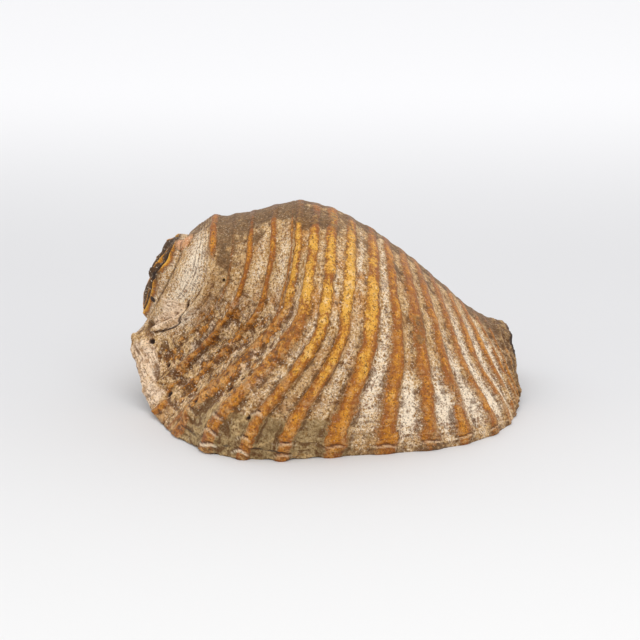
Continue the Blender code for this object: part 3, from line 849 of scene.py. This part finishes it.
def end_layers(paint, f, colour, hues):
    """The pale wrinkled lobe, the pinkish lump, the white broken edges and the torn spire."""
    lump = paint.mask("lump")
    bead = paint.blend((f.mottle + f.grain * 0.5).step(-0.3, 0.8), hues.coral, hues.mauve)
    rim = lump.step(0.08, 0.2) * (1 - lump.step(0.22, 0.34))
    colour = paint.blend(rim * 0.6, colour, hues.dirt_and_shade)
    colour = paint.blend((lump + f.grain * 0.12).step(0.22, 0.4) * 0.9, colour, bead)
    lobe = (f.ring * 0.5 + f.grain * 0.4 + f.mottle * 0.5).step(-0.9, 0.2)
    lobe = paint.blend(lobe, hues.mauve, hues.bloom)
    warm = f.blotch * 0.6 + f.mottle * 0.5 + f.ring * 0.3
    lobe = paint.blend(warm.step(0.45, 0.85) * 0.6, lobe, hues.coat)
    wrinkle = paint.streaks(0.05, 0.012, 4.0).ridge(0.03, 0.22)
    lobe = paint.blend(wrinkle.most(f.crease * 0.6) * 0.6, lobe, hues.stain)
    bloom = paint.mask("bloom") + f.mottle * 0.35 + f.grain * 0.15
    colour = paint.blend(bloom.step(0.35, 0.75), colour, lobe)
    colour = paint.blend(paint.mask("edge") * 0.7, colour, hues.chalk)
    torn = paint.blend((f.coat + f.mottle * 0.5).step(0.2, 0.8), hues.earth_shade, hues.coat)
    torn = paint.blend((f.coat + f.grain * 0.5).step(0.7, 1.1), torn, hues.gold)
    return paint.blend(paint.mask("spire"), colour, torn)


def shell_paint(hues):
    """Orange coat on the ribs, speckled crust between them, chalk, brown stain, grime, dark cracks and holes,
    with painted shade in the hollows and painted highlights.
    """
    paint = Paint("weathered_shell")
    f = ShellFields(paint)
    painted = f.coat + f.mottle * 0.3 + f.grain * 0.22 + f.blotch * 0.16 + f.streak * 0.14
    covered = painted.step(0.22, 0.46)
    border = painted.step(0.02, 0.28) * (1 - covered)
    colour = paint.blend(border * 0.85, crust_colour(paint, f, hues), hues.seam)
    colour = paint.blend(covered, colour, rib_colour(paint, f, painted, hues))

    ground = (f.grain * 0.6 + f.mottle * 0.5).step(-0.4, 0.4)
    ground = paint.blend(ground, hues.earth_shade, hues.earth)
    soil = paint.mask("earth") + f.mottle * 0.55 + f.blotch * 0.6 - 0.35 * covered - 0.4 * f.pale
    soil = soil.step(0.2, 0.85)
    colour = paint.blend(soil * 0.85, colour, ground)
    colour = left_layers(paint, f, colour, hues)
    muddy = paint.blend((f.grain + f.mottle * 0.5).step(-0.5, 0.6), hues.olive_shade, hues.olive)
    olive = (f.damp + f.blotch * 0.5 + f.mottle * 0.2).step(0.4, 0.9) * (1 - covered)
    colour = paint.blend(olive * 0.85, colour, muddy)
    colour = end_layers(paint, f, colour, hues)

    sunk = paint.mask("sunk")
    # painted shade in the hollows of the relief
    colour = paint.blend((sunk + f.grain * 0.1).step(0.05, 0.4) * 0.75, colour, hues.dirt_and_shade)
    # painted highlight on the raised parts of the relief
    colour = paint.blend((f.grain * 0.1 - sunk).step(0.08, 0.45) * 0.25, colour, hues.wear_and_highlight)
    # white flecks: chalk flakes in the crust, and painted glints on the coated ribs
    flakes_and_glints = (f.glint * 0.8 + f.grain * 0.5).step(0.3, 0.6) * (0.7 - 0.5 * covered)
    flakes_and_glints = flakes_and_glints * (1 - 0.7 * olive) * (1 - 0.6 * soil)
    colour = paint.blend(flakes_and_glints, colour, hues.chalk)
    grit = (f.mottle * 0.3 - f.glint * 0.8 - f.grain * 0.5).step(0.2, 0.5)
    colour = paint.blend(grit * 0.8, colour, hues.dirt_and_shade)
    # dark marks, and painted shade in holes, gaps and hollows
    dark_and_shade = (paint.mask("dark") + f.grain * 0.2).step(0.4, 0.8)
    colour = paint.blend(dark_and_shade, colour, hues.pit_and_shade)
    colour = paint.node("ShaderNodeHueSaturation", {}, {"Saturation": 1.2, "Value": 1.17, "Color": colour})
    lining = (f.patch + f.mottle * 0.4 + f.grain * 0.2).step(-1.3, 1.0)
    lining = paint.blend(lining, hues.lining_shade, hues.lining)
    colour = paint.blend(paint.mask("inside"), colour, lining)

    relief = f.grain * 0.6 + f.mottle * 0.4 + f.speck * 0.4
    relief = relief + f.streak * 0.25 + f.ring * 0.15 + f.glint * 0.25
    bump = paint.node("ShaderNodeBump", {}, {"Strength": 0.9, "Distance": 0.0004, "Height": relief}, "Normal")
    paint.give(paint.shader.inputs["Base Color"], colour)
    paint.give(paint.shader.inputs["Roughness"], 0.66 - 0.18 * covered + 0.06 * f.grain)
    paint.give(paint.shader.inputs["Normal"], bump)
    return paint.material


def floor_paint(near, middle, far):
    """Paper with painted shade and light: a little greyer behind the shell than before it, and lightest far
    behind.
    """
    paint = Paint("floor_paper")
    depth = paint.node("ShaderNodeSeparateXYZ", {}, {"Vector": paint.place}, "Y")
    colour = paint.blend(depth.step(-0.3, 0.12), near, middle)
    colour = paint.blend(depth.step(0.22, 0.85), colour, far)
    paint.give(paint.shader.inputs["Base Color"], colour)
    paint.shader.inputs["Roughness"].default_value = 0.9
    return paint.material


def tint(name, description, *screen):
    """Colour picker whose default is given as 0 to 255 screen values."""
    return bpy.props.FloatVectorProperty(name=name, description=description, subtype="COLOR", size=4,
                                         min=0.0, max=1.0, default=tone(*screen))


def length(name, description, value):
    """Length in metres."""
    return bpy.props.FloatProperty(name=name, description=description, default=value, min=0.0,
                                   unit="LENGTH", precision=4)


class ShellShape(bpy.types.PropertyGroup):
    """Sizes of the skin."""

    rib_crest: length("Ribs at the crest", "How far a rib stands out along the crest", 0.001)
    rib_lip: length("Ribs at the lip", "How far a rib stands out near the outer lip", 0.0024)
    wall: length("Wall", "Thickness of the wall", 0.0034)
    lip_wall: length("Lip", "Thickness of the worn outer lip", 0.0026)
    columella_wall: length("Columella", "Thickness of the rolled inner edge", 0.0055)


class ShellColours(bpy.types.PropertyGroup):
    """Colours of the finish."""

    # gold on the middle ribs is partly a painted highlight from the pool of light
    gold: tint("Gold", "Worn bright coat on the middle ribs", 220, 174, 108)
    # light worn grains in the crust, and painted highlights on the middle ribs and the raised relief
    wear_and_highlight: tint("Sheen", "Lightest worn spots of the coat", 238, 204, 156)
    coat: tint("Orange coat", "Coat on the ribs", 198, 142, 86)
    rust: tint("Rust", "Dark coat at the ribs' edges", 142, 88, 52)
    crust: tint("Crust", "Grey-beige crust between the ribs", 212, 182, 144)
    crust_shade: tint("Crust shade", "Darker grains of the crust", 148, 108, 66)
    mauve: tint("Mauve", "Greyer patches of the crust", 184, 150, 116)
    olive: tint("Olive", "Smooth grey-green crust near the lip", 170, 148, 114)
    olive_shade: tint("Olive shade", "Its darker parts", 122, 102, 72)
    coral: tint("Coral", "Pinkish lump at the spire", 204, 156, 126)
    # also painted glints on the coated ribs
    chalk: tint("Chalk", "White specks and broken edges", 246, 232, 212)
    speck: tint("Speck", "Fine dark specks", 98, 68, 42)
    stain: tint("Stain", "Brown stain in the creases", 132, 90, 50)
    seam: tint("Seam", "Dark outline of the coat", 112, 68, 32)
    # grime in specks, lines and outlines, and painted shade in the hollows of the relief
    dirt_and_shade: tint("Dirt", "Dirt in the hollows of the relief", 84, 52, 26)
    earth: tint("Earth", "Brown earthy cover", 122, 94, 66)
    earth_shade: tint("Earth shade", "Darkest earthy cover", 78, 58, 40)
    bloom: tint("Bloom", "Pinkish white fold at the left end", 244, 222, 198)
    # dark cracks and lines, and painted shade in the holes, the spire's gap and hollow and below the joints
    pit_and_shade: tint("Pit", "Cracks, holes and the torn spire's gap", 50, 34, 24)
    lining: tint("Lining", "Smooth inside of the shell", 226, 196, 166)
    lining_shade: tint("Lining shade", "Stained parts of the inside", 186, 146, 112)


class StageLook(bpy.types.PropertyGroup):
    """The floor, the light and the camera."""

    # the floor's tones paint the fall of light: shade beside and behind the shell, light far behind
    floor_near: tint("Floor before", "Floor before the shell", 235, 235, 235)
    floor_middle: tint("Floor beside", "Floor beside and behind the shell", 219, 219, 221)
    floor_far: tint("Floor far", "Floor far behind the shell", 250, 250, 252)
    key_power: bpy.props.FloatProperty(name="Key light", description="Power of the large soft light",
                                       default=3.6, min=0.0, unit="POWER")
    sky: bpy.props.FloatProperty(name="Sky", description="Strength of the even light all round",
                                 default=0.95, min=0.0)


class CONCH_OT_skin(bpy.types.Operator):
    """Build the ribbed skin with its finish"""

    bl_idname = "conch.skin"
    bl_label = "Build the shell"

    def execute(self, context):
        skin = make_skin(context.scene.conch_shape)
        skin.data.materials.append(shell_paint(context.scene.conch_colours))
        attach(skin, "root")
        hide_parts("conch_shell")
        return {"FINISHED"}


def aim(thing, at):
    """Turn a light or a camera towards a point."""
    thing.rotation_euler = (Vector(at) - thing.location).to_track_quat("-Z", "Y").to_euler()


class CONCH_OT_stage(bpy.types.Operator):
    """Set up the pale floor, the soft light and the camera"""

    bl_idname = "conch.stage"
    bl_label = "Build the stage"

    def execute(self, context):
        scene = context.scene
        look = scene.conch_stage
        bpy.ops.mesh.primitive_plane_add(size=16.0)
        floor = context.object
        floor.name = "floor"
        floor.data.materials.append(floor_paint(look.floor_near, look.floor_middle, look.floor_far))

        world = bpy.data.worlds.new("even_light")
        world.use_nodes = True
        sky = world.node_tree.nodes["Background"]
        sky.inputs["Color"].default_value = (1.0, 1.0, 1.0, 1.0)
        sky.inputs["Strength"].default_value = look.sky
        scene.world = world

        key = bpy.data.lights.new("soft_key", "AREA")
        key.energy = look.key_power
        key.size = KEY_SIZE
        key_object = bpy.data.objects.new("soft_key", key)
        scene.collection.objects.link(key_object)
        key_object.location = KEY_PLACE
        aim(key_object, (0.0, 0.0, 0.04))

        lens = bpy.data.cameras.new("photo_camera")
        lens.sensor_width = 36.0
        lens.lens = 100.0
        lens.clip_end = 20.0
        camera = bpy.data.objects.new("photo_camera", lens)
        scene.collection.objects.link(camera)
        target = Vector(PHOTO_TARGET)
        rise = math.radians(PHOTO_RISE)
        camera.location = target + PHOTO_DISTANCE * Vector((0.0, -math.cos(rise), math.sin(rise)))
        aim(camera, target)
        scene.camera = camera
        scene.view_settings.view_transform = "Standard"
        return {"FINISHED"}


class CONCH_PT_panel(bpy.types.Panel):
    """Sizes, colours and buttons of the shell"""

    bl_idname = "CONCH_PT_panel"
    bl_label = "Conch shell"
    bl_space_type = "VIEW_3D"
    bl_region_type = "UI"
    bl_category = "Shell"

    def draw(self, context):
        for name in GROUPS:
            group = getattr(context.scene, name)
            box = self.layout.box()
            for key in group.bl_rna.properties.keys():
                if key not in ("rna_type", "name"):
                    box.prop(group, key)
        self.layout.operator("conch.skin")
        self.layout.operator("conch.stage")


GROUPS = {"conch_shape": ShellShape, "conch_colours": ShellColours, "conch_stage": StageLook}
CLASSES = (*GROUPS.values(), CONCH_OT_skin, CONCH_OT_stage, CONCH_PT_panel)


def register():
    for cls in CLASSES:
        bpy.utils.register_class(cls)
    for name, group in GROUPS.items():
        setattr(bpy.types.Scene, name, bpy.props.PointerProperty(type=group))


def unregister():
    for name in GROUPS:
        delattr(bpy.types.Scene, name)
    for cls in reversed(CLASSES):
        bpy.utils.unregister_class(cls)


def main():
    """Register the add-on and build everything in order."""
    register()
    bpy.ops.conch.skin()
    bpy.ops.conch.stage()


if __name__ == "__main__":
    main()
